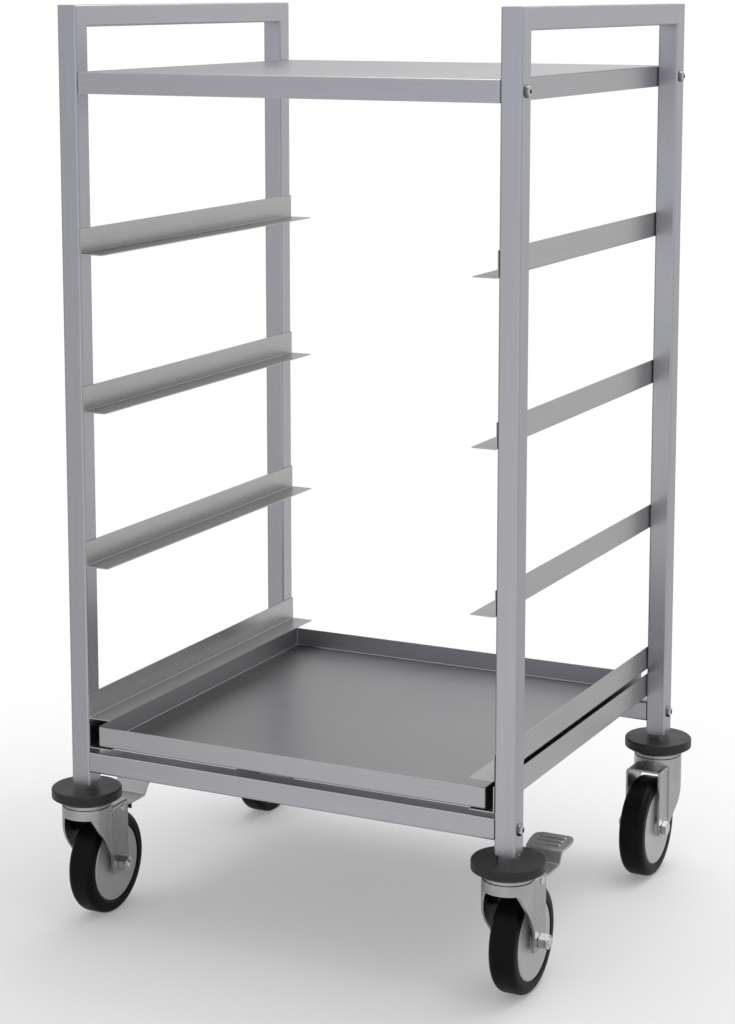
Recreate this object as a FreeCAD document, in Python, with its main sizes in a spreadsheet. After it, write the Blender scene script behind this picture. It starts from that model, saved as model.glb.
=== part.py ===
import FreeCAD, Part
import math
import os
import Sketcher

# Plate dispenser cart: two stainless tube side frames with mitred top handles, a folded top shelf,
# four pairs of angle runners for dish baskets, a drip tray on its own pair of runners, and four
# swivel casters with bumper discs. The two front casters carry a brake pedal.
# Frame: X to the right when facing the open front, Y to the back, Z up, origin on the floor
# below the middle of the cart.

doc = FreeCAD.newDocument("PlateDispenserCart")
sheet = doc.addObject("Spreadsheet::Sheet", "Dimensions")

Vector = FreeCAD.Vector
Rotation = FreeCAD.Rotation
AXES = {"X": Vector(1, 0, 0), "Y": Vector(0, 1, 0), "Z": Vector(0, 0, 1)}


# ---------------------------------------------------------------- dimensions

class Size:
    """A length that keeps both its number and the sheet expression it comes from."""

    def __init__(self, value, text):
        self.value = float(value)
        self.text = text

    def __add__(self, other):
        other = as_size(other)
        return Size(self.value + other.value, f"({self.text} + {other.text})")

    def __sub__(self, other):
        other = as_size(other)
        return Size(self.value - other.value, f"({self.text} - {other.text})")

    def __mul__(self, factor):
        return Size(self.value * factor, f"({self.text} * {factor!r})")

    def __truediv__(self, factor):
        return Size(self.value / factor, f"({self.text} / {factor!r})")

    def __neg__(self):
        return Size(-self.value, f"(-1 * {self.text})")

    def __radd__(self, other):
        return as_size(other) + self

    def __rsub__(self, other):
        return as_size(other) - self


def as_size(value):
    if isinstance(value, Size):
        return value
    return Size(value, f"({float(value)!r})")


row_count = 0


def dimension(alias, value):
    """One row of the sheet: a named driving size."""
    global row_count
    row_count += 1
    sheet.set(f"A{row_count}", alias)
    sheet.set(f"B{row_count}", repr(value))
    sheet.setAlias(f"B{row_count}", alias)
    return Size(value, f"Dimensions.{alias}")


# overall frame
cart_width = dimension("cart_width", 573.0)
cart_depth = dimension("cart_depth", 512.0)
cart_height = dimension("cart_height", 1093.0)
tube_size = dimension("tube_size", 25.0)
tube_wall = dimension("tube_wall", 1.5)
tube_corner = dimension("tube_corner", 2.5)
handle_height = dimension("handle_height", 75.0)
foot_below_rail = dimension("foot_below_rail", 16.0)

# sheet parts
sheet_thickness = dimension("sheet_thickness", 1.5)
shelf_flange = dimension("shelf_flange", 25.0)
shelf_bend = dimension("shelf_bend", 2.5)
runner_leg = dimension("runner_leg", 30.0)
runner_thickness = dimension("runner_thickness", 1.2)
runner_bend = dimension("runner_bend", 2.0)
top_bay_height = dimension("top_bay_height", 179.0)
tray_runner_gap = dimension("tray_runner_gap", 6.3)
lowest_bay_gap = dimension("lowest_bay_gap", 5.7)
tray_side_gap = dimension("tray_side_gap", 11.5)
tray_back_gap = dimension("tray_back_gap", 10.0)
tray_height = dimension("tray_height", 25.0)
tray_setback = dimension("tray_setback", 2.0)
tray_bend = dimension("tray_bend", 3.0)

# frame screws
screw_diameter = dimension("screw_diameter", 8.0)
screw_head = dimension("screw_head", 14.0)
screw_head_height = dimension("screw_head_height", 4.4)
screw_rim = dimension("screw_rim", 0.7)
screw_point = dimension("screw_point", 0.8)
screw_socket = dimension("screw_socket", 5.0)
shelf_screw_length = dimension("shelf_screw_length", 35.0)
rail_screw_length = dimension("rail_screw_length", 45.0)
nut_flats = dimension("nut_flats", 13.0)
nut_height = dimension("nut_height", 6.5)
insert_length = dimension("insert_length", 22.0)

# casters
wheel_diameter = dimension("wheel_diameter", 125.0)
wheel_width = dimension("wheel_width", 32.0)
tyre_height = dimension("tyre_height", 16.0)
tread_radius = dimension("tread_radius", 8.0)
disc_width = dimension("disc_width", 30.8)
hub_radius = dimension("hub_radius", 11.0)
caster_trail = dimension("caster_trail", 39.3)
fork_wall = dimension("fork_wall", 2.5)
fork_inner_width = dimension("fork_inner_width", 40.0)
bell_radius = dimension("bell_radius", 30.0)
neck_radius = dimension("neck_radius", 28.3)
channel_bend = dimension("channel_bend", 4.3)
leg_reach = dimension("leg_reach", 55.0)
leg_below_axle = dimension("leg_below_axle", 9.5)
leg_heel = dimension("leg_heel", 11.0)
arch_over_wheel = dimension("arch_over_wheel", 9.0)
channel_over_wheel = dimension("channel_over_wheel", 14.0)
bell_over_wheel = dimension("bell_over_wheel", 21.5)
neck_over_wheel = dimension("neck_over_wheel", 26.7)
bumper_gap = dimension("bumper_gap", 0.5)
bumper_diameter = dimension("bumper_diameter", 84.0)
bumper_height = dimension("bumper_height", 15.8)
bumper_taper_reach = dimension("bumper_taper_reach", 7.5)
bumper_taper_height = dimension("bumper_taper_height", 4.6)
bumper_bevel = dimension("bumper_bevel", 1.4)
collar_height = dimension("collar_height", 6.0)
collar_flats = dimension("collar_flats", 24.0)
plug_length = dimension("plug_length", 57.0)
kingpin_diameter = dimension("kingpin_diameter", 12.0)
axle_diameter = dimension("axle_diameter", 10.0)
axle_flats = dimension("axle_flats", 16.0)
axle_head_height = dimension("axle_head_height", 6.4)
axle_nut_height = dimension("axle_nut_height", 11.0)
axle_end = dimension("axle_end", 2.2)
bearing_height = dimension("bearing_height", 4.0)
kingpin_flats = dimension("kingpin_flats", 19.0)
kingpin_head = dimension("kingpin_head", 7.0)
end_chamfer = dimension("end_chamfer", 1.0)

# brake pedal
lever_width = dimension("lever_width", 39.0)
riser_width = dimension("riser_width", 44.2)
treadle_width = dimension("treadle_width", 49.0)
treadle_reach = dimension("treadle_reach", 140.0)
treadle_length = dimension("treadle_length", 35.0)
treadle_rise = dimension("treadle_rise", 4.4)
treadle_corner = dimension("treadle_corner", 10.0)
riser_height = dimension("riser_height", 13.7)
riser_lean = dimension("riser_lean", 9.0)
pedal_thickness = dimension("pedal_thickness", 2.8)
rib_length = dimension("rib_length", 33.0)
rib_width = dimension("rib_width", 4.4)
rib_height = dimension("rib_height", 1.5)
rib_pitch = dimension("rib_pitch", 8.8)
pivot_behind_swivel = dimension("pivot_behind_swivel", 44.0)
pivot_over_wheel = dimension("pivot_over_wheel", 6.0)
pivot_diameter = dimension("pivot_diameter", 5.0)
shoe_length = dimension("shoe_length", 26.0)
shoe_height = dimension("shoe_height", 22.0)
brake_throw = 8.0

# clearances
running_clearance = dimension("running_clearance", 0.05)
slide_clearance = dimension("slide_clearance", 0.05)
face_clearance = dimension("face_clearance", 0.3)
screw_clearance = dimension("screw_clearance", 0.2)
plug_clearance = dimension("plug_clearance", 0.1)

# derived heights, from the floor up
wheel_radius = wheel_diameter / 2
arch_top = wheel_diameter + arch_over_wheel
channel_top = wheel_diameter + channel_over_wheel
bell_top = wheel_diameter + bell_over_wheel
neck_top = wheel_diameter + neck_over_wheel
bumper_bottom = neck_top + bumper_gap
bumper_top = bumper_bottom + bumper_height
post_foot = bumper_top + collar_height
rail_bottom = post_foot + foot_below_rail
rail_top = rail_bottom + tube_size
tray_runner_bottom = rail_top + tray_runner_gap
lowest_runner_bottom = tray_runner_bottom + runner_leg + lowest_bay_gap
shelf_top = cart_height - handle_height
highest_runner_bottom = shelf_top - top_bay_height - runner_leg
runner_pitch = (highest_runner_bottom - lowest_runner_bottom) / 3

# derived positions in plan
post_x = cart_width / 2 - tube_size / 2
post_y = cart_depth / 2 - tube_size / 2
inner_x = cart_width / 2 - tube_size
post_length = cart_height - post_foot
shelf_screw_height = shelf_top - shelf_flange / 2
rail_screw_height = rail_bottom + tube_size / 2


# ---------------------------------------------------------------- helpers

def bind(item, prop, size):
    """Sets a property and, for a named size, keeps it tied to the sheet."""
    size = as_size(size)
    item.setExpression(prop, size.text)


def place(item, x, y, z, axis="Z", angle=0.0):
    x, y, z = as_size(x), as_size(y), as_size(z)
    item.Placement = FreeCAD.Placement(Vector(x.value, y.value, z.value), Rotation(AXES[axis], angle))
    bind(item, "Placement.Base.x", x)
    bind(item, "Placement.Base.y", y)
    bind(item, "Placement.Base.z", z)


def new_body(label):
    body = doc.addObject("PartDesign::Body", label)
    body.Label = label
    return body


def sketch_on(body, name, role, offset=0.0):
    """A sketch on one of the body's own planes, moved along the plane's normal."""
    sketch = body.newObject("Sketcher::SketchObject", name)
    for feature in body.Origin.OriginFeatures:
        if feature.Role == role:
            sketch.AttachmentSupport = [(feature, "")]
    sketch.MapMode = "FlatFace"
    offset = as_size(offset)
    sketch.AttachmentOffset = FreeCAD.Placement(Vector(0, 0, offset.value), Rotation())
    bind(sketch, "AttachmentOffset.Base.z", offset)
    return sketch


def tilt_sketch(sketch, y, z, angle):
    """Moves a sketch off its ground plane to (y, z) and tilts it about X."""
    y, z = as_size(y), as_size(z)
    sketch.AttachmentOffset = FreeCAD.Placement(Vector(0, y.value, z.value), Rotation(AXES["X"], angle))
    bind(sketch, "AttachmentOffset.Base.y", y)
    bind(sketch, "AttachmentOffset.Base.z", z)


def fix_point(sketch, geometry, position, u, v):
    """Ties one sketch point to its two coordinates."""
    for kind, size in (("DistanceX", as_size(u)), ("DistanceY", as_size(v))):
        constraint = Sketcher.Constraint(kind, -1, 1, geometry, position, size.value)
        index = sketch.addConstraint(constraint)
        sketch.setExpression(f"Constraints[{index}]", size.text)


def end_at(sketch, geometry, point):
    """Which end of a sketch curve, 1 or 2, lies at the point."""
    curve = sketch.Geometry[geometry]
    return 1 if (curve.StartPoint - point).Length < 1e-6 else 2


def outline(sketch, points, arcs=None):
    """A closed outline through the points; arcs gives a middle point for each curved side."""
    arcs = arcs or {}
    corners = [Vector(as_size(u).value, as_size(v).value, 0) for u, v in points]
    count = len(points)
    sides = []
    for index in range(count):
        start = corners[index]
        end = corners[(index + 1) % count]
        if index in arcs:
            middle = Vector(as_size(arcs[index][0]).value, as_size(arcs[index][1]).value, 0)
            if (middle - start).cross(end - middle).z < 0:
                start, end = end, start
            sides.append(sketch.addGeometry(Part.Arc(start, middle, end)))
        else:
            sides.append(sketch.addGeometry(Part.LineSegment(start, end)))
    for index in range(count):
        following = (index + 1) % count
        first = sides[index]
        second = sides[following]
        first_end = end_at(sketch, first, corners[following])
        second_end = end_at(sketch, second, corners[following])
        sketch.addConstraint(Sketcher.Constraint("Coincident", first, first_end, second, second_end))
    for index in range(count):
        fix_point(sketch, sides[index], end_at(sketch, sides[index], corners[index]), *points[index])
        if index in arcs:
            radius = sketch.Geometry[sides[index]].Radius
            sketch.addConstraint(Sketcher.Constraint("Radius", sides[index], radius))


def rectangle(sketch, left, bottom, right, top):
    outline(sketch, [(left, bottom), (right, bottom), (right, top), (left, top)])


def circle(sketch, u, v, radius):
    u, v, radius = as_size(u), as_size(v), as_size(radius)
    centre = Vector(u.value, v.value, 0)
    index = sketch.addGeometry(Part.Circle(centre, Vector(0, 0, 1), radius.value))
    fix_point(sketch, index, 3, u, v)
    constraint = sketch.addConstraint(Sketcher.Constraint("Radius", index, radius.value))
    sketch.setExpression(f"Constraints[{constraint}]", radius.text)


def pad(body, name, sketch, length, symmetric=False, reverse=False):
    feature = body.newObject("PartDesign::Pad", name)
    feature.Profile = sketch
    if symmetric:
        feature.SideType = "Symmetric"
    feature.Reversed = reverse
    bind(feature, "Length", length)
    doc.recompute()
    return feature


def pocket(body, name, sketch, length, symmetric=False, reverse=False):
    feature = body.newObject("PartDesign::Pocket", name)
    feature.Profile = sketch
    if symmetric:
        feature.SideType = "Symmetric"
    feature.Reversed = reverse
    bind(feature, "Length", length)
    before = body.Shape.Volume
    doc.recompute()
    if not body.Shape.Volume < before:
        raise ValueError(f"{body.Label}: {name} removes nothing")
    return feature


def revolve(body, name, sketch, axis="H_Axis"):
    feature = body.newObject("PartDesign::Revolution", name)
    feature.Profile = sketch
    feature.ReferenceAxis = (sketch, [axis])
    feature.Angle = 360.0
    doc.recompute()
    return feature


def round_edges(body, name, radius, chosen):
    """Rounds every edge of the body's current shape that the test picks out."""
    base = body.Tip
    names = []
    for index, edge in enumerate(base.Shape.Edges, start=1):
        if not edge.Degenerated and chosen(edge):
            names.append(f"Edge{index}")
    if not names:
        raise ValueError(f"{body.Label}: {name} finds no edge")
    feature = body.newObject("PartDesign::Fillet", name)
    feature.Base = (base, names)
    bind(feature, "Radius", radius)
    doc.recompute()
    if not feature.isValid():
        raise ValueError(f"{body.Label}: {name} cannot be rounded")
    return feature


def is_line_along(edge, axis):
    if not isinstance(edge.Curve, Part.Line):
        return False
    return abs(abs(edge.Curve.Direction.dot(AXES[axis])) - 1.0) < 1e-6


def middle_of(edge):
    return edge.valueAt((edge.FirstParameter + edge.LastParameter) / 2)


def near(value, size):
    return abs(value - as_size(size).value) < 0.01


def group(label, members):
    """Several equal separate pieces under one name."""
    compound = doc.addObject("Part::Compound", label)
    compound.Label = label
    compound.Links = members
    return compound


def square_tube(label, length, axis):
    """A square tube centred on the body's origin, along the given axis."""
    role = {"X": "YZ_Plane", "Y": "XZ_Plane", "Z": "XY_Plane"}[axis]
    half = tube_size / 2
    inside = half - tube_wall
    body = new_body(label)
    outer = sketch_on(body, "OuterSection", role)
    rectangle(outer, -half, -half, half, half)
    pad(body, "Tube", outer, length, symmetric=True)
    round_edges(body, "OuterCorners", tube_corner, lambda edge: is_line_along(edge, axis))
    bore = sketch_on(body, "InnerSection", role)
    rectangle(bore, -inside, -inside, inside, inside)
    pocket(body, "Bore", bore, length * 2, symmetric=True)
    round_edges(
        body, "InnerCorners", tube_corner - tube_wall,
        lambda edge: is_line_along(edge, axis) and is_bore_corner(edge, axis, inside))
    return body


def is_bore_corner(edge, axis, inside):
    point = middle_of(edge)
    across = {"X": (point.y, point.z), "Y": (point.x, point.z), "Z": (point.x, point.y)}[axis]
    return near(abs(across[0]), inside) and near(abs(across[1]), inside)


def cut_corner(body, name, points):
    """Cuts a tube end along a line in the YZ plane."""
    sketch = sketch_on(body, name + "Line", "YZ_Plane")
    outline(sketch, points)
    pocket(body, name, sketch, tube_size * 2, symmetric=True)


def bore_x(body, name, centres, radius):
    """Round holes along X through the whole body at the given (y, z) centres."""
    sketch = sketch_on(body, name + "Circles", "YZ_Plane")
    for y, z in centres:
        circle(sketch, y, z, radius)
    pocket(body, name, sketch, cart_width * 2, symmetric=True)


# ---------------------------------------------------------------- side frames

half_tube = tube_size / 2
mitre_run_out = 4.0
screw_hole_radius = screw_diameter / 2 + screw_clearance


def make_post(label, side, end):
    """Corner post, mitred at the top; end is -1 at the front and +1 at the back."""
    body = square_tube(label, post_length, "Z")
    top = post_length / 2
    cut_corner(body, "Mitre", [
        (-half_tube - mitre_run_out, top + mitre_run_out),
        (half_tube + mitre_run_out, top - tube_size - mitre_run_out),
        (half_tube + mitre_run_out, top + mitre_run_out)])
    middle = post_foot + post_length / 2
    heights = (shelf_screw_height - middle, rail_screw_height - middle)
    bore_x(body, "ScrewHoles", [(0, height) for height in heights], screw_hole_radius)
    place(body, post_x * side, post_y * end, middle, "Z", 0.0 if end < 0 else 180.0)
    return body


def make_top_rail(label, side):
    """Handle tube over one side, mitred on to both posts."""
    body = square_tube(label, cart_depth, "Y")
    reach = cart_depth / 2
    for name, sign in (("FrontMitre", -1), ("RearMitre", 1)):
        cut_corner(body, name, [
            ((reach + mitre_run_out) * sign, half_tube + mitre_run_out),
            ((reach - tube_size - mitre_run_out) * sign, -half_tube - mitre_run_out),
            ((reach + mitre_run_out) * sign, -half_tube - mitre_run_out)])
    place(body, post_x * side, 0, cart_height - half_tube)
    return body


def make_lower_rail(label, end):
    """Square tube between the feet of two posts."""
    body = square_tube(label, inner_x * 2, "X")
    place(body, 0, post_y * end, rail_screw_height)
    return body


def make_runner(label, side, bottom):
    """Folded angle on the inner faces of a front and a back post; the flat leg points inwards."""
    body = new_body(label)
    section = sketch_on(body, "Section", "XZ_Plane")
    leg = runner_leg * -side
    skin = runner_thickness * -side
    outline(section, [
        (0, 0), (leg, 0), (leg, runner_thickness),
        (skin, runner_thickness), (skin, runner_leg), (0, runner_leg)])
    pad(body, "Fold", section, cart_depth, symmetric=True)
    round_edges(
        body, "OuterBend", runner_bend,
        lambda edge: is_line_along(edge, "Y") and near(middle_of(edge).x, 0)
        and near(middle_of(edge).z, 0))
    round_edges(
        body, "InnerBend", runner_bend - runner_thickness,
        lambda edge: is_line_along(edge, "Y") and near(middle_of(edge).x, skin)
        and near(middle_of(edge).z, runner_thickness))
    place(body, inner_x * side, 0, bottom)
    return body


# ---------------------------------------------------------------- shelf and tray

def make_shelf(label):
    """Folded top shelf with a flange down on all four sides, screwed between the posts."""
    body = new_body(label)
    deep = cart_depth / 2
    plate = sketch_on(body, "Plan", "XY_Plane", -shelf_flange)
    rectangle(plate, -inner_x, -deep, inner_x, deep)
    pad(body, "Block", plate, shelf_flange)
    round_edges(body, "OuterBends", shelf_bend, lambda edge: not near(middle_of(edge).z, -shelf_flange))
    hollow = sketch_on(body, "HollowPlan", "XY_Plane", -shelf_flange)
    wide_in = inner_x - sheet_thickness
    deep_in = deep - sheet_thickness
    rectangle(hollow, -wide_in, -deep_in, wide_in, deep_in)
    pocket(body, "Hollow", hollow, shelf_flange - sheet_thickness, reverse=True)
    round_edges(
        body, "InnerBends", shelf_bend - sheet_thickness,
        lambda edge: near(middle_of(edge).z, sheet_thickness * -1) or (
            is_line_along(edge, "Z") and near(abs(middle_of(edge).x), wide_in)))
    bore_x(body, "ScrewHoles", [(post_y * end, -shelf_flange / 2) for end in (-1, 1)], screw_hole_radius)
    place(body, 0, 0, shelf_top)
    return body


def make_tray(label):
    """Shallow drip tray that rests on the flat legs of the lowest runners."""
    body = new_body(label)
    wide = inner_x - tray_side_gap
    deep = (cart_depth - tray_setback - tray_back_gap) / 2
    base = sketch_on(body, "Plan", "XY_Plane")
    rectangle(base, -wide, -deep, wide, deep)
    pad(body, "Block", base, tray_height)
    round_edges(body, "OuterBends", tray_bend, lambda edge: not near(middle_of(edge).z, tray_height))
    hollow = sketch_on(body, "HollowPlan", "XY_Plane", sheet_thickness)
    wide_in = wide - sheet_thickness
    deep_in = deep - sheet_thickness
    rectangle(hollow, -wide_in, -deep_in, wide_in, deep_in)
    pocket(body, "Hollow", hollow, tray_height, reverse=True)
    round_edges(
        body, "InnerBends", tray_bend - sheet_thickness,
        lambda edge: near(middle_of(edge).z, sheet_thickness) or (
            is_line_along(edge, "Z") and near(abs(middle_of(edge).x), wide_in)))
    front = -cart_depth / 2 + tray_setback
    place(body, 0, front + deep, tray_runner_bottom + runner_thickness + slide_clearance)
    return body


# ---------------------------------------------------------------- fasteners

def make_button_screw(label, length):
    """Dome head screw with a hexagon socket; the head stands on Z = 0, the shank points down."""
    body = new_body(label)
    shank = screw_diameter / 2
    head_radius = screw_head / 2
    crown_radius = head_radius * 0.45
    dome_middle = (head_radius * 0.83, screw_head_height * 0.72)
    profile = sketch_on(body, "Profile", "XZ_Plane")
    outline(
        profile,
        [(0, -length), (shank - screw_point, -length), (shank, screw_point - length), (shank, 0),
         (head_radius, 0), (head_radius, screw_rim),
         (crown_radius, screw_head_height), (0, screw_head_height)],
        {5: dome_middle})
    revolve(body, "Turned", profile, "V_Axis")
    socket_depth = screw_head_height * 0.6
    socket = sketch_on(body, "SocketSection", "XY_Plane", screw_head_height)
    hexagon(socket, screw_socket)
    pocket(body, "Socket", socket, socket_depth)
    return body


def hexagon(sketch, flats):
    """A hexagon about the sketch origin with two sides parallel to the first axis."""
    side = flats / math.sqrt(3)
    outline(sketch, [
        (side, 0), (side / 2, flats / 2), (-side / 2, flats / 2),
        (-side, 0), (-side / 2, -flats / 2), (side / 2, -flats / 2)])


def hex_body(label, flats, height, both_ends=True):
    """Hexagonal block on Z = 0 with its corners chamfered on the upper end or on both."""
    body = new_body(label)
    corner = flats / math.sqrt(3)
    inner = flats * 0.47
    slope = (corner - inner) * math.tan(math.radians(30))
    profile = sketch_on(body, "Profile", "XZ_Plane")
    if both_ends:
        outline(profile, [
            (0, 0), (inner, 0), (corner, slope), (corner, height - slope), (inner, height), (0, height)])
    else:
        outline(profile, [(0, 0), (corner, 0), (corner, height - slope), (inner, height), (0, height)])
    revolve(body, "Turned", profile, "V_Axis")
    frame_ring = sketch_on(body, "FlatsPlan", "XY_Plane")
    circle(frame_ring, 0, 0, flats)
    hexagon(frame_ring, flats)
    pocket(body, "Flats", frame_ring, height, reverse=True)
    return body


def bore_z(body, name, radius, length):
    """A round hole up the body's Z axis from Z = 0."""
    sketch = sketch_on(body, name + "Circle", "XY_Plane")
    circle(sketch, 0, 0, radius)
    pocket(body, name, sketch, length, reverse=True)


def frame_screws(label, length, height):
    """One row of four dome head screws through the posts from outside."""
    members = []
    for side in (-1, 1):
        for end in (-1, 1):
            screw = make_button_screw(f"{label}_{len(members) + 1}", length)
            place(screw, (cart_width / 2) * side, post_y * end, height, "Y", 90.0 * side)
            members.append(screw)
    return group(label, members)


def shelf_nuts(label):
    """Weld nuts on the inner faces of the shelf's side flanges."""
    members = []
    for side in (-1, 1):
        for end in (-1, 1):
            nut = hex_body(f"{label}_{len(members) + 1}", nut_flats, nut_height, both_ends=False)
            bore_z(nut, "Thread", screw_diameter / 2 + running_clearance, nut_height)
            seat = inner_x - sheet_thickness
            place(nut, seat * side, post_y * end, shelf_screw_height, "Y", -90.0 * side)
            members.append(nut)
    return group(label, members)


def rail_inserts(label):
    """Threaded square plugs in the four open ends of the lower rails."""
    members = []
    half = tube_size / 2 - tube_wall - plug_clearance
    for side in (-1, 1):
        for end in (-1, 1):
            insert = new_body(f"{label}_{len(members) + 1}")
            section = sketch_on(insert, "Section", "XY_Plane")
            rectangle(section, -half, -half, half, half)
            pad(insert, "Block", section, insert_length)
            round_edges(insert, "Corners", tube_corner - tube_wall, lambda edge: is_line_along(edge, "Z"))
            bore_z(insert, "Thread", screw_diameter / 2 + running_clearance, insert_length)
            place(insert, inner_x * side, post_y * end, rail_screw_height, "Y", -90.0 * side)
            members.append(insert)
    return group(label, members)


# ---------------------------------------------------------------- casters
# Every caster piece is drawn in the caster's own frame: Z up the swivel axis from the floor,
# +Y towards the trailing wheel. The front casters trail to the back, the rear ones to the front.

leg_half = fork_inner_width / 2 + fork_wall
bell_floor = bell_top - fork_wall
neck_floor = neck_top - fork_wall
neck_bore = neck_radius - fork_wall
leg_bottom = wheel_radius - leg_below_axle
kingpin_below_screw = 2.5
kingpin_top = rail_screw_height - screw_diameter / 2 - kingpin_below_screw
bearing_bottom = neck_floor - face_clearance - bearing_height
pivot_y = pivot_behind_swivel
pivot_z = wheel_diameter + pivot_over_wheel
margin = 5.0

CASTERS = (
    ("front_left", -1, -1), ("front_right", 1, -1),
    ("rear_left", -1, 1), ("rear_right", 1, 1))


def put_on_caster(item, side, end, forward=0.0, up=0.0, turn=None):
    """Places a caster piece on its post; forward is measured along the trail."""
    forward = as_size(forward)
    trailing = -end
    angle = 0.0 if trailing > 0 else 180.0
    if turn:
        place(item, post_x * side, post_y * end + forward * trailing, up, turn, 90.0 * trailing)
    else:
        place(item, post_x * side, post_y * end + forward * trailing, up, "Z", angle)


def make_fork(label, side, end):
    """Pressed fork: round bell and neck at the swivel, open channel with two legs at the axle."""
    body = new_body(label)
    inner_half = fork_inner_width / 2
    bell = sketch_on(body, "BellPlan", "XY_Plane", leg_bottom)
    circle(bell, 0, 0, bell_radius)
    pad(body, "Bell", bell, bell_top - leg_bottom)
    channel = sketch_on(body, "ChannelPlan", "XY_Plane", leg_bottom)
    rectangle(channel, -leg_half, 0, leg_half, leg_reach)
    pad(body, "Channel", channel, channel_top - leg_bottom)
    round_edges(
        body, "ChannelBends", channel_bend,
        lambda edge: is_line_along(edge, "Y") and near(middle_of(edge).z, channel_top))
    round_edges(
        body, "BellShoulder", bell_radius - neck_radius - face_clearance,
        lambda edge: near(edge.BoundBox.ZMin, bell_top) and near(edge.BoundBox.ZMax, bell_top))
    neck = sketch_on(body, "NeckPlan", "XY_Plane", bell_top)
    circle(neck, 0, 0, neck_radius)
    pad(body, "Neck", neck, neck_top - bell_top)
    round_edges(
        body, "NeckShoulder", end_chamfer,
        lambda edge: near(edge.BoundBox.ZMin, neck_top) and near(edge.BoundBox.ZMax, neck_top))

    bell_inside = sketch_on(body, "BellInside", "XY_Plane", leg_bottom)
    circle(bell_inside, 0, 0, bell_radius - fork_wall)
    pocket(body, "BellHollow", bell_inside, bell_floor - leg_bottom, reverse=True)
    channel_inside = sketch_on(body, "ChannelInside", "XY_Plane", leg_bottom)
    rectangle(channel_inside, -inner_half, 0, inner_half, leg_reach + margin)
    pocket(body, "ChannelHollow", channel_inside, channel_top - fork_wall - leg_bottom, reverse=True)
    neck_inside = sketch_on(body, "NeckInside", "XY_Plane", leg_bottom)
    circle(neck_inside, 0, 0, neck_bore)
    pocket(body, "NeckHollow", neck_inside, neck_floor - leg_bottom, reverse=True)
    bore_z(body, "KingpinBore", kingpin_diameter / 2 + running_clearance, neck_top * 2)

    # the bell's front wall ends at the arch; below it the legs' front edges sweep back to the feet
    ahead = -bell_radius - margin
    arch_start = (-21.0, arch_top)
    arch_middle = (-9.1, arch_top - 25)
    leg_front = (8.0, arch_top - 51)
    leg_middle = (15.5, arch_top - 64)
    toe_start = (19.5, leg_bottom + 4)
    toe_middle = (20.9, leg_bottom + 1.2)
    toe_end = (24.0, leg_bottom)
    arch = sketch_on(body, "ArchSide", "YZ_Plane")
    outline(
        arch,
        [(ahead, arch_top), arch_start, leg_front, toe_start, toe_end,
         (toe_end[0], leg_bottom - margin), (ahead, leg_bottom - margin)],
        {1: arch_middle, 2: leg_middle, 3: toe_middle})
    pocket(body, "Arch", arch, bell_radius * 4, symmetric=True)
    round_edges(
        body, "LegHeels", leg_heel,
        lambda edge: is_line_along(edge, "X") and near(middle_of(edge).z, leg_bottom)
        and near(middle_of(edge).y, leg_reach))
    holes = [(caster_trail, wheel_radius)]
    bore_x(body, "AxleBore", holes, axle_diameter / 2 + running_clearance)
    if end < 0:
        bore_x(body, "PivotBore", [(pivot_y, pivot_z)], pivot_diameter / 2 + running_clearance)
    put_on_caster(body, side, end)
    return body


def make_wheel_centre(label, side, end):
    """Moulded wheel centre with flat side discs and a hub between the fork legs."""
    body = new_body(label)
    hub = fork_inner_width / 2 - face_clearance
    face = disc_width / 2
    rim = wheel_radius - tyre_height
    bore = axle_diameter / 2 + running_clearance
    hub_foot = hub_radius + 1.5
    profile = sketch_on(body, "Profile", "XY_Plane")
    outline(profile, [
        (-hub, bore), (-hub, hub_radius), (-face, hub_foot), (-face, rim - end_chamfer),
        (end_chamfer - face, rim), (face - end_chamfer, rim),
        (face, rim - end_chamfer), (face, hub_foot), (hub, hub_radius), (hub, bore)])
    revolve(body, "Turned", profile)
    put_on_caster(body, side, end, caster_trail, wheel_radius)
    return body


def make_tyre(label, side, end):
    """Rubber tyre with a rounded tread, moulded on the wheel centre's rim."""
    body = new_body(label)
    half = wheel_width / 2
    rim = wheel_radius - tyre_height
    foot = disc_width / 2 - end_chamfer
    wall_foot = rim + 2.5
    profile = sketch_on(body, "Profile", "XY_Plane")
    outline(profile, [
        (-foot, rim), (-half, wall_foot), (-half, wheel_radius), (half, wheel_radius),
        (half, wall_foot), (foot, rim)])
    revolve(body, "Turned", profile)
    round_edges(
        body, "Tread", tread_radius,
        lambda edge: isinstance(edge.Curve, Part.Circle) and near(edge.Curve.Radius, wheel_radius))
    put_on_caster(body, side, end, caster_trail, wheel_radius)
    return body


def make_axle_bolt(label, side, end):
    """Wheel bolt across the fork; the head is at the lower end of the body's Z axis."""
    head = hex_body(label + "_head", axle_flats, axle_head_height)
    place(head, 0, 0, -leg_half - axle_head_height)
    shank = new_body(label + "_shank")
    profile = sketch_on(shank, "Profile", "XZ_Plane")
    radius = axle_diameter / 2
    tip = leg_half + axle_nut_height + axle_end
    outline(profile, [
        (0, -leg_half), (radius, -leg_half), (radius, tip - end_chamfer),
        (radius - end_chamfer, tip), (0, tip)])
    revolve(shank, "Turned", profile, "V_Axis")
    bolt = doc.addObject("Part::Fuse", label)
    bolt.Label = label
    bolt.Base = head
    bolt.Tool = shank
    put_on_caster(bolt, side, end, caster_trail, wheel_radius, turn="Y")
    return bolt


def make_axle_nut(label, side, end):
    """Nut on the threaded end of the wheel bolt."""
    body = hex_body(label, axle_flats, axle_nut_height)
    bore_z(body, "Thread", axle_diameter / 2 + running_clearance, axle_nut_height)
    trailing = -end
    place(
        body, post_x * side + leg_half * trailing, post_y * end + caster_trail * trailing,
        wheel_radius, "Y", 90.0 * trailing)
    return body


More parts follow.
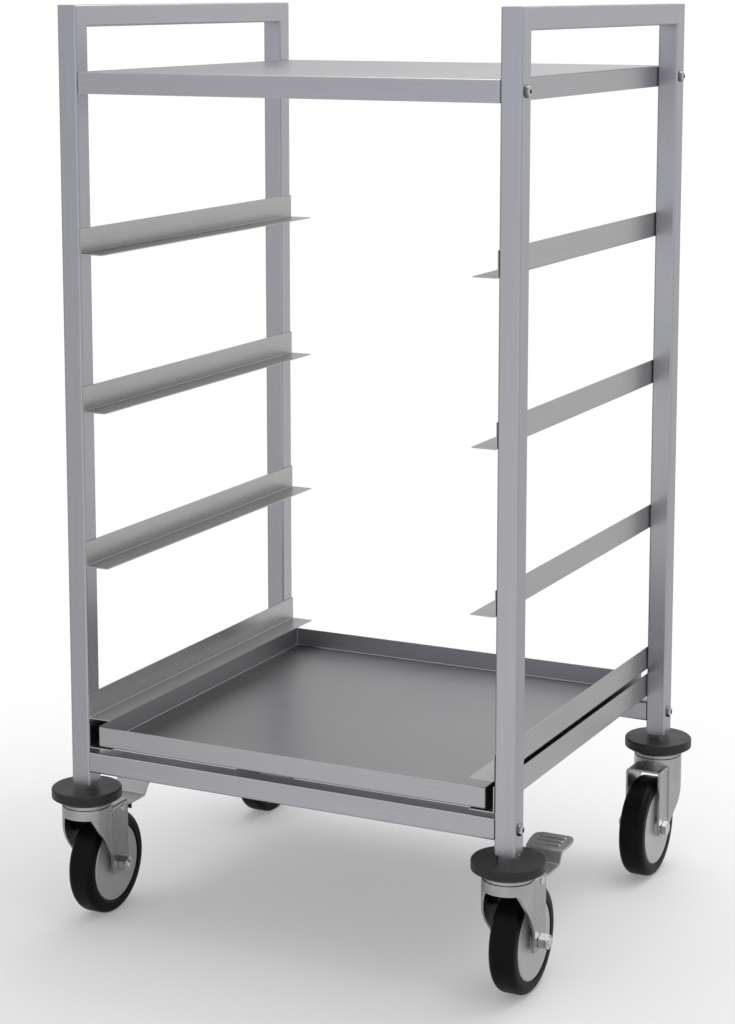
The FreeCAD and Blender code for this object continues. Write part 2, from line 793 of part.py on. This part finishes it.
def make_bumper(label, side, end):
    """Round rubber bumper disc under the post, tapered on its underside."""
    body = new_body(label)
    radius = bumper_diameter / 2
    bore = kingpin_diameter / 2 + running_clearance
    profile = sketch_on(body, "Profile", "XZ_Plane")
    outline(profile, [
        (bore, 0), (radius - bumper_taper_reach, 0), (radius, bumper_taper_height),
        (radius, bumper_height - bumper_bevel), (radius - bumper_bevel, bumper_height),
        (bore, bumper_height)])
    revolve(body, "Turned", profile, "V_Axis")
    round_edges(
        body, "RimRounding", end_chamfer,
        lambda edge: isinstance(edge.Curve, Part.Circle) and near(edge.Curve.Radius, radius))
    put_on_caster(body, side, end, 0.0, bumper_bottom)
    return body


def make_stem_plug(label, side, end):
    """Square plug in the post's open foot with a hexagon collar that stands on the bumper."""
    body = new_body(label)
    collar = sketch_on(body, "CollarPlan", "XY_Plane")
    hexagon(collar, collar_flats.value)
    pad(body, "Collar", collar, collar_height)
    fit = tube_size / 2 - tube_wall - plug_clearance
    stem = sketch_on(body, "StemPlan", "XY_Plane", collar_height)
    rectangle(stem, -fit, -fit, fit, fit)
    pad(body, "Stem", stem, plug_length)
    round_edges(
        body, "StemCorners", tube_corner - tube_wall,
        lambda edge: is_line_along(edge, "Z") and near(abs(middle_of(edge).x), fit)
        and middle_of(edge).z > collar_height.value)
    thread_depth = kingpin_top + end_chamfer - bumper_top
    bore_z(body, "Thread", kingpin_diameter / 2 + running_clearance, thread_depth)
    bore_x(body, "ScrewHole", [(0, rail_screw_height - bumper_top)], screw_hole_radius)
    put_on_caster(body, side, end, 0.0, bumper_top)
    return body


def kingpins(label):
    """The four swivel bolts: head inside the fork, shank up through bumper and plug."""
    members = []
    for name, side, end in CASTERS:
        head = hex_body(f"{name}_kingpin_head", kingpin_flats, kingpin_head)
        place(head, 0, 0, -kingpin_head)
        shank = new_body(f"{name}_kingpin_shank")
        profile = sketch_on(shank, "Profile", "XZ_Plane")
        radius = kingpin_diameter / 2
        length = kingpin_top - bearing_bottom
        outline(profile, [
            (0, 0), (radius, 0), (radius, length - end_chamfer),
            (radius - end_chamfer, length), (0, length)])
        revolve(shank, "Turned", profile, "V_Axis")
        pin = doc.addObject("Part::Fuse", f"{name}_kingpin")
        pin.Base = head
        pin.Tool = shank
        put_on_caster(pin, side, end, 0.0, bearing_bottom)
        members.append(pin)
    return group(label, members)


def swivel_bearings(label):
    """The four thrust bearing rings clamped between kingpin head and fork neck."""
    members = []
    for name, side, end in CASTERS:
        ring = new_body(f"{name}_swivel_bearing")
        profile = sketch_on(ring, "Profile", "XZ_Plane")
        bore = kingpin_diameter / 2 + running_clearance
        outer = neck_bore - face_clearance
        outline(profile, [
            (bore, 0), (outer - end_chamfer, 0), (outer, end_chamfer), (outer, bearing_height),
            (bore, bearing_height)])
        revolve(ring, "Turned", profile, "V_Axis")
        put_on_caster(ring, side, end, 0.0, bearing_bottom)
        members.append(ring)
    return group(label, members)


# ---------------------------------------------------------------- brake

def make_brake_pedal(label, side, end):
    """Pressed brake pedal: hub on the pivot pin, lever under the channel, riser and ribbed treadle."""
    body = new_body(label)
    lever_low = pivot_z - pedal_thickness / 2
    lever_high = lever_low + pedal_thickness
    riser_head = treadle_reach - treadle_length
    riser_foot = riser_head - riser_lean
    treadle_low = lever_low + riser_height
    treadle_end = treadle_low + treadle_rise
    fold_offset = 1.8
    profile = sketch_on(body, "SideProfile", "YZ_Plane")
    outline(profile, [
        (pivot_y, lever_low), (riser_foot, lever_low), (riser_head, treadle_low),
        (treadle_reach, treadle_end), (treadle_reach, treadle_end + pedal_thickness),
        (riser_head - fold_offset, treadle_low + pedal_thickness), (riser_foot - fold_offset, lever_high),
        (pivot_y, lever_high)])
    pad(body, "Pressing", profile, treadle_width, symmetric=True)
    round_edges(
        body, "OuterFolds", pedal_thickness * 2,
        lambda edge: is_line_along(edge, "X") and (
            near(middle_of(edge).y, riser_foot) or near(middle_of(edge).y, riser_head - fold_offset)))
    round_edges(
        body, "InnerFolds", pedal_thickness,
        lambda edge: is_line_along(edge, "X") and (
            near(middle_of(edge).y, riser_foot - fold_offset) or near(middle_of(edge).y, riser_head)))

    # plan trim: narrow lever between the fork walls, wider riser and treadle with round corners
    lever_half = lever_width / 2
    riser_half = riser_width / 2
    wide = treadle_width / 2
    trim_start = pivot_y - margin * 2
    lever_end = leg_reach + face_clearance * 10
    riser_start = lever_end + margin
    near_end = riser_head - 3
    far_end = near_end + 16
    corner_x = wide - treadle_corner
    corner_y = treadle_reach - treadle_corner
    corner_middle = treadle_corner * math.sqrt(0.5)
    trim_floor = lever_low - margin * 2
    for name, sign in (("LeftTrim", -1), ("RightTrim", 1)):
        trim = sketch_on(body, name + "Plan", "XY_Plane", trim_floor)
        outline(
            trim,
            [(lever_half * sign, trim_start), (lever_half * sign, lever_end),
             (riser_half * sign, riser_start), (riser_half * sign, near_end),
             (wide * sign, far_end), (wide * sign, corner_y),
             (corner_x * sign, treadle_reach), (corner_x * sign, treadle_reach + margin),
             ((wide + margin) * sign, treadle_reach + margin), ((wide + margin) * sign, trim_start)],
            {5: ((corner_x + corner_middle) * sign, corner_y + corner_middle)})
        pocket(body, name, trim, treadle_reach, reverse=True)

    # three raised ribs across the treadle, drawn on its sloping upper face
    slope = math.atan2(treadle_rise.value, (treadle_length + fold_offset).value)
    rib_foot = 0.6
    seat_z = treadle_low + pedal_thickness - rib_foot
    ribs = sketch_on(body, "RibPlan", "XY_Plane")
    tilt_sketch(ribs, riser_head - fold_offset, seat_z, math.degrees(slope))
    rib_half = rib_length / 2 - rib_width / 2
    rib_bulge = rib_width * 0.4
    first_rib = treadle_length - rib_pitch * 2.75
    for index in range(3):
        low = first_rib + rib_pitch * index - rib_width / 2
        high = low + rib_width
        outline(
            ribs, [(-rib_half, low), (rib_half, low), (rib_half, high), (-rib_half, high)],
            {1: (rib_half + rib_bulge, low + rib_width / 2), 3: (-rib_half - rib_bulge, low + rib_width / 2)})
    pad(body, "Ribs", ribs, rib_height + rib_foot)
    upward = Vector(0, -math.sin(slope), math.cos(slope))
    seat = Vector(0, (riser_head - fold_offset).value, seat_z.value)
    round_edges(
        body, "RibTops", rib_height * 0.8,
        lambda edge: near((middle_of(edge) - seat).dot(upward), rib_height + rib_foot))

    hub = sketch_on(body, "HubCircle", "YZ_Plane")
    circle(hub, pivot_y, pivot_z, pivot_diameter / 2 + 2)
    pad(body, "Hub", hub, fork_inner_width - face_clearance * 2, symmetric=True)
    bore_x(body, "PivotBore", [(pivot_y, pivot_z)], pivot_diameter / 2 + running_clearance)
    put_on_caster(body, side, end)
    return body


def make_brake_shoe(label, side, end):
    """Block under the pedal's base, hollowed so that it meets the tread when the pedal is down."""
    body = new_body(label)
    top = pivot_z - pedal_thickness / 2
    turn = math.radians(brake_throw)
    arm_y = caster_trail - pivot_y
    arm_z = wheel_radius - pivot_z
    tread_y = pivot_y + arm_y * math.cos(turn) - arm_z * math.sin(turn)
    tread_z = pivot_z + arm_y * math.sin(turn) + arm_z * math.cos(turn)
    shoe_start = leg_reach + 1
    shoe_width = wheel_width * 0.7
    side_view = sketch_on(body, "SideProfile", "YZ_Plane")
    rectangle(side_view, shoe_start, top - shoe_height, shoe_start + shoe_length, top)
    pad(body, "Block", side_view, shoe_width, symmetric=True)
    tread = sketch_on(body, "TreadCircle", "YZ_Plane")
    circle(tread, tread_y, tread_z, wheel_radius + face_clearance)
    pocket(body, "TreadHollow", tread, wheel_width * 2, symmetric=True)
    put_on_caster(body, side, end)
    return body


def make_pivot_pin(label, side, end):
    """Riveted pin on which the brake pedal turns."""
    body = new_body(label)
    radius = pivot_diameter / 2
    head_radius = radius + 2
    head_height = 1.6
    head_edge = 1.0
    reach = leg_half + head_height
    profile = sketch_on(body, "Profile", "XY_Plane")
    outline(profile, [
        (-reach, 0), (-reach, head_radius - head_edge), (head_edge - reach, head_radius),
        (-leg_half, head_radius), (-leg_half, radius), (leg_half, radius), (leg_half, head_radius),
        (reach - head_edge, head_radius), (reach, head_radius - head_edge), (reach, 0)])
    revolve(body, "Turned", profile)
    put_on_caster(body, side, end, pivot_y, pivot_z)
    return body


# ---------------------------------------------------------------- assembly

parts = []
for side_name, side in (("left", -1), ("right", 1)):
    parts.append(make_post(f"{side_name}_front_post", side, -1))
    parts.append(make_post(f"{side_name}_rear_post", side, 1))
    parts.append(make_top_rail(f"{side_name}_top_rail", side))
    for level in range(4):
        bottom = highest_runner_bottom - runner_pitch * level
        parts.append(make_runner(f"{side_name}_basket_runner_{level + 1}", side, bottom))
    parts.append(make_runner(f"{side_name}_tray_runner", side, tray_runner_bottom))

parts.append(make_lower_rail("front_lower_rail", -1))
parts.append(make_lower_rail("rear_lower_rail", 1))
parts.append(make_shelf("top_shelf"))
parts.append(make_tray("drip_tray"))
parts.append(frame_screws("shelf_screws", shelf_screw_length, shelf_screw_height))
parts.append(frame_screws("rail_screws", rail_screw_length, rail_screw_height))
parts.append(shelf_nuts("shelf_nuts"))
parts.append(rail_inserts("rail_inserts"))
parts.append(kingpins("kingpins"))
parts.append(swivel_bearings("swivel_bearings"))

for name, side, end in CASTERS:
    parts.append(make_stem_plug(f"{name}_stem_plug", side, end))
    parts.append(make_bumper(f"{name}_bumper", side, end))
    parts.append(make_fork(f"{name}_fork", side, end))
    parts.append(make_axle_bolt(f"{name}_axle_bolt", side, end))
    parts.append(make_axle_nut(f"{name}_axle_nut", side, end))
    parts.append(make_wheel_centre(f"{name}_wheel_centre", side, end))
    parts.append(make_tyre(f"{name}_tyre", side, end))
    if end < 0:
        parts.append(make_brake_pedal(f"{name}_brake_pedal", side, end))
        parts.append(make_brake_shoe(f"{name}_brake_shoe", side, end))
        parts.append(make_pivot_pin(f"{name}_pivot_pin", side, end))

doc.recompute()

for item in doc.Objects:
    if "Invalid" in item.State or "Error" in item.State:
        raise ValueError(f"{item.Label} did not compute: {item.State}")

os.makedirs("parts", exist_ok=True)
for item in parts:
    if item.Shape.isNull() or not item.Shape.isValid():
        raise ValueError(f"{item.Label} has no valid shape")
    item.Shape.exportStep(f"parts/{item.Label}.step")
print(len(parts), "parts written")
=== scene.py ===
import math

import bpy
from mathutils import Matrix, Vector


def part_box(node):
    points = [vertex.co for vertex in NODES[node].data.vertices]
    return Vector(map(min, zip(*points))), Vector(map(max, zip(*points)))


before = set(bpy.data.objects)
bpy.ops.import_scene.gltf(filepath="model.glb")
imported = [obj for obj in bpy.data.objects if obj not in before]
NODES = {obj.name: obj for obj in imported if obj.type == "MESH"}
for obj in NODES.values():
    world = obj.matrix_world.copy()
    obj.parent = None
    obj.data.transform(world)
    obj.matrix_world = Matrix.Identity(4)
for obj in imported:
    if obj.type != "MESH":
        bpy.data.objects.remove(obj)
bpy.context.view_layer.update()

IMAGE_WIDTH = 735
IMAGE_HEIGHT = 1024
WHITE = (1.0, 1.0, 1.0, 1.0)
EVEN = (1.0, 1.0, 1.0)


# ---------------------------------------------------------------- camera

def add_camera():
    """The photograph's view: position in metres, focal length and optical centre in its pixels."""
    focal_pixels = 2411.4
    centre_x, centre_y = 370.55, 368.4
    yaw, pitch = 26.282, 8.976
    data = bpy.data.cameras.new("camera")
    data.sensor_fit = "HORIZONTAL"
    data.sensor_width = 36.0
    data.lens = focal_pixels * data.sensor_width / IMAGE_WIDTH
    data.shift_x = (IMAGE_WIDTH / 2 - centre_x) / IMAGE_WIDTH
    data.shift_y = (centre_y - IMAGE_HEIGHT / 2) / IMAGE_WIDTH
    data.clip_end = 60.0
    camera = bpy.data.objects.new("camera", data)
    camera.location = (1.2590, -2.5806, 1.1124)
    camera.rotation_euler = (math.radians(90 - pitch), 0.0, math.radians(yaw))
    bpy.context.scene.collection.objects.link(camera)
    bpy.context.scene.camera = camera


# ---------------------------------------------------------------- node helpers

class Nodes:
    """Short calls for building one node tree."""

    def __init__(self, tree):
        self.tree = tree

    def add(self, kind, inputs=None, **settings):
        node = self.tree.nodes.new("ShaderNode" + kind)
        for key, value in settings.items():
            setattr(node, key, value)
        for key, value in (inputs or {}).items():
            self.feed(node.inputs[key], value)
        return node

    def feed(self, socket, value):
        if isinstance(value, bpy.types.NodeSocket):
            self.tree.links.new(value, socket)
        else:
            socket.default_value = value

    def span(self, value, low, high, source_low=0.3, source_high=0.7):
        """Maps source_low..source_high of a value on to low..high, and holds it there beyond."""
        return self.add("MapRange", {"Value": value, "From Min": source_low, "From Max": source_high,
                                     "To Min": low, "To Max": high}).outputs["Result"]

    def math(self, operation, a, b):
        node = self.add("Math", operation=operation)
        self.feed(node.inputs[0], a)
        self.feed(node.inputs[1], b)
        return node.outputs[0]

    def vector(self, operation, *values):
        node = self.add("VectorMath", operation=operation)
        for socket, value in zip(node.inputs, values):
            self.feed(socket, value)
        return node.outputs

    def axis(self, vector, name):
        return self.add("SeparateXYZ", {"Vector": vector}).outputs[name]

    def blend(self, factor, a, b, kind="RGBA"):
        first, result = {"FLOAT": (2, 0), "RGBA": (6, 2)}[kind]
        node = self.add("Mix", data_type=kind)
        self.feed(node.inputs["Factor"], factor)
        self.feed(node.inputs[first], a)
        self.feed(node.inputs[first + 1], b)
        return node.outputs[result]

    def tint(self, color, factor):
        node = self.add("Mix", data_type="RGBA", blend_type="MULTIPLY")
        self.feed(node.inputs["Factor"], 1.0)
        self.feed(node.inputs[6], color)
        self.feed(node.inputs[7], (factor, factor, factor, 1.0))
        return node.outputs[2]


class Paint(Nodes):
    """The node tree of one new material."""

    def __init__(self, name):
        self.material = bpy.data.materials.new(name)
        self.material.use_nodes = True
        super().__init__(self.material.node_tree)
        self.shader = self.tree.nodes["Principled BSDF"]
        self.output = self.tree.nodes["Material Output"]

    def place(self, scale=EVEN, shift=(0.0, 0.0, 0.0)):
        """Points in the row frame, stretched and then moved."""
        where = self.add("TexCoord").outputs["Object"]
        mapping = self.add("Mapping", {"Vector": where, "Scale": scale, "Location": shift})
        return mapping.outputs["Vector"]

    def noise(self, scale, stretch=EVEN, detail=3.0, rough=0.55):
        node = self.add("TexNoise", {"Vector": self.place(stretch), "Scale": scale,
                                     "Detail": detail, "Roughness": rough})
        return node.outputs["Fac"]

    def normal(self):
        return self.add("NewGeometry").outputs["Normal"]

    def facing_up(self):
        """1 on faces that look upwards, 0 on the rest."""
        return self.span(self.axis(self.normal(), "Z"), 0.0, 1.0, 0.5, 0.95)

    def facing_x(self):
        """1 on faces that look along X either way, 0 on those that turn away from it."""
        return self.span(self.math("POWER", self.axis(self.normal(), "X"), 2.0), 0.0, 1.0, 0.25, 0.80)

    def shut_in(self, distance):
        """0 in the open, rising to 1 where other faces stand close by; the mask for painted shade where
        faces close in.
        """
        open_sky = self.add("AmbientOcclusion", {"Distance": distance}, samples=16).outputs["AO"]
        return self.span(open_sky, 1.0, 0.0, 0.35, 0.95)

    def edges(self, radius, strength):
        """0 on open faces, rising to the strength on the piece's corners within the radius."""
        round_normal = self.add("Bevel", {"Radius": radius}, samples=4).outputs["Normal"]
        likeness = self.vector("DOT_PRODUCT", round_normal, self.normal())["Value"]
        return self.math("MULTIPLY", self.span(likeness, 1.0, 0.0, 0.90, 0.995), strength)

    def bump(self, height, strength, distance):
        node = self.add("Bump", {"Height": height, "Strength": strength, "Distance": distance})
        self.feed(self.shader.inputs["Normal"], node.outputs["Normal"])

    def set(self, **inputs):
        names = {"color": "Base Color", "metal": "Metallic", "rough": "Roughness",
                 "specular": "Specular IOR Level", "tint": "Specular Tint"}
        for key, value in inputs.items():
            self.feed(self.shader.inputs[names[key]], value)


# ---------------------------------------------------------------- materials

def grey(value, warmth=0.0):
    """A linear grey, slightly warm above zero and slightly blue below it."""
    return (value * (1 + warmth), value, value * (1 - warmth), 1.0)


def shade(color, factor):
    return tuple(min(1.0, channel * factor) for channel in color[:3]) + (1.0,)


def brushed_steel(name, along, tone, rough=0.33, top_painted_light=1.0, hollow_painted_shade=1.0, reach=0.11, wear_and_highlight=0.3):
    """Stainless with a fine grind along one axis, faint clouds, and corners painted lighter as rubbed
    wear and as a painted highlight.

    top_painted_light scales the tone of faces that look upwards, as painted light and shade,
    hollow_painted_shade darkens places shut in within reach with painted shade, and wear_and_highlight is
    how bright the corners are painted, as rubbed wear and as a painted highlight.
    """
    grind_pull = 0.010
    n = Paint(name)
    stretch = [1.0, 1.0, 1.0]
    stretch["XYZ".index(along)] = grind_pull
    fine = n.noise(2600.0, stretch, 3.0, 0.6)
    broad = n.noise(420.0, stretch, 2.0)
    clouds = n.noise(11.0)
    grain = n.math("ADD", n.math("MULTIPLY", fine, 0.7), n.math("MULTIPLY", broad, 0.3))
    color = n.blend(n.span(grain, 0.0, 1.0, 0.36, 0.64), shade(tone, 0.95), shade(tone, 1.05))
    color = n.blend(n.span(clouds, 0.0, 1.0), n.tint(color, 0.975), color)
    # Painted light and shade: faces that look upwards are drawn lighter or darker.
    if top_painted_light != 1.0:
        color = n.blend(n.facing_up(), color, n.tint(color, top_painted_light))
    # Painted shade where other faces stand close by.
    if hollow_painted_shade < 1.0:
        color = n.blend(n.shut_in(reach), color, n.tint(color, hollow_painted_shade))
    # Corners painted lighter: partly rubbed wear, partly a painted highlight along the bends.
    color = n.blend(n.edges(0.0009, wear_and_highlight), color, shade(tone, 1.45))
    n.set(color=color, metal=1.0, tint=grey(0.72))
    n.set(rough=n.math("ADD", n.span(fine, rough - 0.04, rough + 0.04), n.span(clouds, -0.03, 0.03)))
    n.bump(fine, 0.08, 0.0003)
    return n.material


def plated(name, tone, rough, wear_and_highlight=0.4, dull=0.94, rim_shade=1.0):
    """Pressed or turned steel with a bright plating: faint flow marks, soft clouds, edges painted lighter
    as rubbed wear and as a painted highlight.

    dull is the tone of the clouds, and rim_shade darkens the sides of heads that point along X, a painted
    dark reflection round domed heads.
    """
    n = Paint(name)
    flow = n.noise(240.0, (1.0, 1.0, 0.25))
    clouds = n.noise(48.0)
    color = n.blend(n.span(flow, 0.0, 1.0), shade(tone, 0.97), shade(tone, 1.03))
    color = n.blend(n.span(clouds, 0.0, 1.0), n.tint(color, dull), color)
    # Edges painted lighter: partly rubbed wear, partly a painted highlight.
    color = n.blend(n.edges(0.0007, wear_and_highlight), color, shade(tone, 1.5))
    # Painted dark reflection on the sides of domed heads that point along X.
    if rim_shade < 1.0:
        color = n.blend(n.facing_x(), n.tint(color, rim_shade), color)
    n.set(color=color, metal=1.0, tint=grey(0.8))
    n.set(rough=n.math("ADD", n.span(flow, rough - 0.02, rough + 0.02), n.span(clouds, -0.03, 0.03)))
    n.bump(clouds, 0.05, 0.0002)
    return n.material


def rubber(name, tone, rough, shine):
    """Moulded rubber: fine pimples, a cloudy bloom and paler rims in patches, partly scuffs and partly a
    painted highlight.
    """
    n = Paint(name)
    pimples = n.noise(1500.0, detail=2.0)
    bloom = n.noise(45.0)
    patches = n.noise(90.0, detail=4.0)
    color = n.blend(n.span(bloom, 0.0, 1.0), shade(tone, 0.8), shade(tone, 1.25))
    # Rims painted paler in patches: partly scuffs, partly a painted highlight.
    color = n.blend(n.edges(0.0012, n.span(patches, 0.25, 0.9)), color, shade(tone, 4.0))
    n.set(color=color, specular=shine)
    n.set(rough=n.span(bloom, rough - 0.05, rough + 0.07))
    n.bump(pimples, 0.12, 0.0002)
    return n.material


def turned_disc(name, centre, tone):
    """Satin wheel centre with fine rings about its axle and a dusty cloud."""
    n = Paint(name)
    where = n.place(shift=tuple(-c for c in centre))
    rings = n.add("TexWave", {"Vector": where, "Scale": 260.0, "Distortion": 0.6, "Detail": 2.0,
                              "Detail Scale": 1.5}, wave_type="RINGS", rings_direction="X").outputs["Fac"]
    clouds = n.noise(38.0)
    color = n.blend(rings, shade(tone, 0.93), shade(tone, 1.06))
    color = n.blend(n.span(clouds, 0.0, 1.0), n.tint(color, 0.9), color)
    color = n.blend(n.edges(0.001, 0.4), color, shade(tone, 1.5))
    n.set(color=color, metal=0.35, specular=0.35)
    n.set(rough=n.span(clouds, 0.30, 0.42))
    n.bump(rings, 0.10, 0.0002)
    return n.material


def dress(node, material):
    mesh = NODES[node].data
    mesh.materials.clear()
    mesh.materials.append(material)


def dress_wheel_centre(node):
    low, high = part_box(node)
    centre = tuple((a + b) / 2 for a, b in zip(low, high))
    dress(node, turned_disc(node + "_satin", centre, grey(0.50)))


def dress_everything():
    tube = (0.462, 0.465, 0.488, 1.0)
    plate = (0.472, 0.472, 0.485, 1.0)
    angle_sheet = (0.495, 0.491, 0.487, 1.0)
    tube_up = brushed_steel("steel_grain_up", "Z", tube)
    tube_deep = brushed_steel("steel_grain_deep", "Y", tube)
    # Top faces of the lower rails painted lighter.
    tube_wide = brushed_steel("steel_grain_wide", "X", tube, top_painted_light=1.4)
    # Runners: painted shade in their inside bends, tops painted a little lighter, no corner highlight.
    angle = brushed_steel("sheet_grain_deep", "Y", angle_sheet, 0.30,
                          top_painted_light=1.1, hollow_painted_shade=0.80, reach=0.04, wear_and_highlight=0.0)
    # Shelf: top painted a little darker, its bends given a painted highlight.
    shelf = brushed_steel("shelf_grain_wide", "X", plate, 0.34, top_painted_light=0.92, wear_and_highlight=0.9)
    # Tray: floor painted darker, painted shade on its inside walls.
    tray = brushed_steel("tray_grain_wide", "X", plate, 0.36, top_painted_light=0.80, hollow_painted_shade=0.82, wear_and_highlight=0.5)
    # Screws: painted dark reflection round their heads.
    screw = plated("polished_screw", grey(0.62), 0.12, rim_shade=0.25)
    zinc = plated("bright_zinc", grey(0.66), 0.20)
    pressing = plated("zinc_pressing", grey(0.45, 0.015), 0.26, dull=0.90)
    # Pedal: edges and ribs painted lighter, as wear and as a painted highlight.
    pedal = plated("pedal_plating", grey(0.48, 0.01), 0.34, wear_and_highlight=0.8)
    disc_rubber = rubber("bumper_rubber", grey(0.019), 0.42, 0.30)
    tyre = rubber("tyre_rubber", grey(0.004), 0.40, 0.10)
    by_name = (
        ("_post", tube_up), ("top_rail", tube_deep), ("runner", angle), ("lower_rail", tube_wide),
        ("top_shelf", shelf), ("drip_tray", tray), ("_screws", screw), ("_tyre", tyre),
        ("_bumper", disc_rubber), ("_shoe", tyre), ("_fork", pressing), ("_pedal", pedal))
    for node in NODES:
        if node.endswith("_wheel_centre"):
            dress_wheel_centre(node)
        else:
            dress(node, next((material for word, material in by_name if word in node), zinc))


# ---------------------------------------------------------------- stage and light

def dim_sides(n, x):
    """Level of the room's light from a direction's X: lower to the far left and the far right."""
    left = n.span(x, 0.60, 1.0, -0.70, -0.32)
    right = n.span(x, 1.0, 0.80, 0.46, 0.66)
    return n.math("MULTIPLY", left, right)


def floor_paint():
    """Matt near the cart, where the soft shadow lies, and white further out.

    The white is what the camera and reflections see, and reflections see it a little dimmer.
    """
    mirrored_level = 0.90
    n = Paint("floor_paint")
    n.tree.nodes.remove(n.shader)
    diffuse = n.add("BsdfDiffuse", {"Color": (0.80, 0.80, 0.80, 1.0)})
    where = n.add("TexCoord").outputs["Object"]
    distance = n.vector("LENGTH", where)["Value"]
    outward = n.vector("NORMALIZE", where)["Vector"]
    rays = n.add("LightPath")
    camera = rays.outputs["Is Camera Ray"]
    mirrored = n.math("MULTIPLY", dim_sides(n, n.axis(outward, "X")), mirrored_level)
    glow = n.add("Emission", {"Color": WHITE, "Strength": n.blend(camera, mirrored, 1.0, "FLOAT")})
    seen = n.math("MAXIMUM", camera, rays.outputs["Is Glossy Ray"])
    mix = n.add("MixShader")
    n.feed(mix.inputs[0], n.math("MULTIPLY", n.span(distance, 0.24, 1.0, 0.58, 1.02), seen))
    n.feed(mix.inputs[1], diffuse.outputs[0])
    n.feed(mix.inputs[2], glow.outputs[0])
    n.feed(n.output.inputs["Surface"], mix.outputs[0])
    return n.material


def add_floor():
    """Pale floor that runs out into the white background."""
    reach = 14.0
    corners = [(-reach, -reach, 0), (reach, -reach, 0), (reach, reach, 0), (-reach, reach, 0)]
    mesh = bpy.data.meshes.new("floor")
    mesh.from_pydata(corners, [], [(0, 1, 2, 3)])
    mesh.materials.append(floor_paint())
    floor = bpy.data.objects.new("floor", mesh)
    bpy.context.scene.collection.objects.link(floor)


def add_world():
    """White room, dimmer to the far sides and high at the back, and a little cooler in front."""
    cool_white = (0.905, 0.920, 1.0, 1.0)
    fill_level = 0.84
    world = bpy.data.worlds.new("studio")
    bpy.context.scene.world = world
    world.use_nodes = True
    n = Nodes(world.node_tree)
    background = n.tree.nodes["Background"]
    direction = n.add("SeparateXYZ", {"Vector": n.add("TexCoord").outputs["Generated"]}).outputs
    rays = n.add("LightPath")
    camera = rays.outputs["Is Camera Ray"]
    high = n.span(direction["Z"], 0.0, 1.0, 0.20, 0.55)
    behind = n.span(direction["Y"], 0.0, 0.25, -0.1, 0.4)
    shade_behind = n.math("SUBTRACT", 1.0, n.math("MULTIPLY", high, behind))
    room = n.math("MULTIPLY", dim_sides(n, direction["X"]), shade_behind)
    front = n.span(direction["Y"], 1.0, 0.0, -0.9, -0.2)
    tinted = n.blend(front, WHITE, cool_white)
    seen = n.math("MAXIMUM", camera, rays.outputs["Is Glossy Ray"])
    lit = n.math("MULTIPLY", room, n.span(seen, fill_level, 1.0, 0.0, 1.0))
    n.feed(background.inputs["Color"], n.blend(camera, tinted, WHITE))
    n.feed(background.inputs["Strength"], n.blend(camera, lit, 1.0, "FLOAT"))


def add_lamp(name, position, target, size, watts):
    data = bpy.data.lights.new(name, "AREA")
    data.shape = "SQUARE"
    data.size = size
    data.energy = watts
    lamp = bpy.data.objects.new(name, data)
    lamp.location = position
    lamp.rotation_euler = (Vector(target) - Vector(position)).to_track_quat("-Z", "Y").to_euler()
    bpy.context.scene.collection.objects.link(lamp)


add_camera()
dress_everything()
add_floor()
add_world()
add_lamp("overhead", position=(0.3, 0.9, 3.3), target=(0.0, 0.0, 0.0), size=3.0, watts=80.0)
bpy.context.scene.view_settings.view_transform = "Standard"
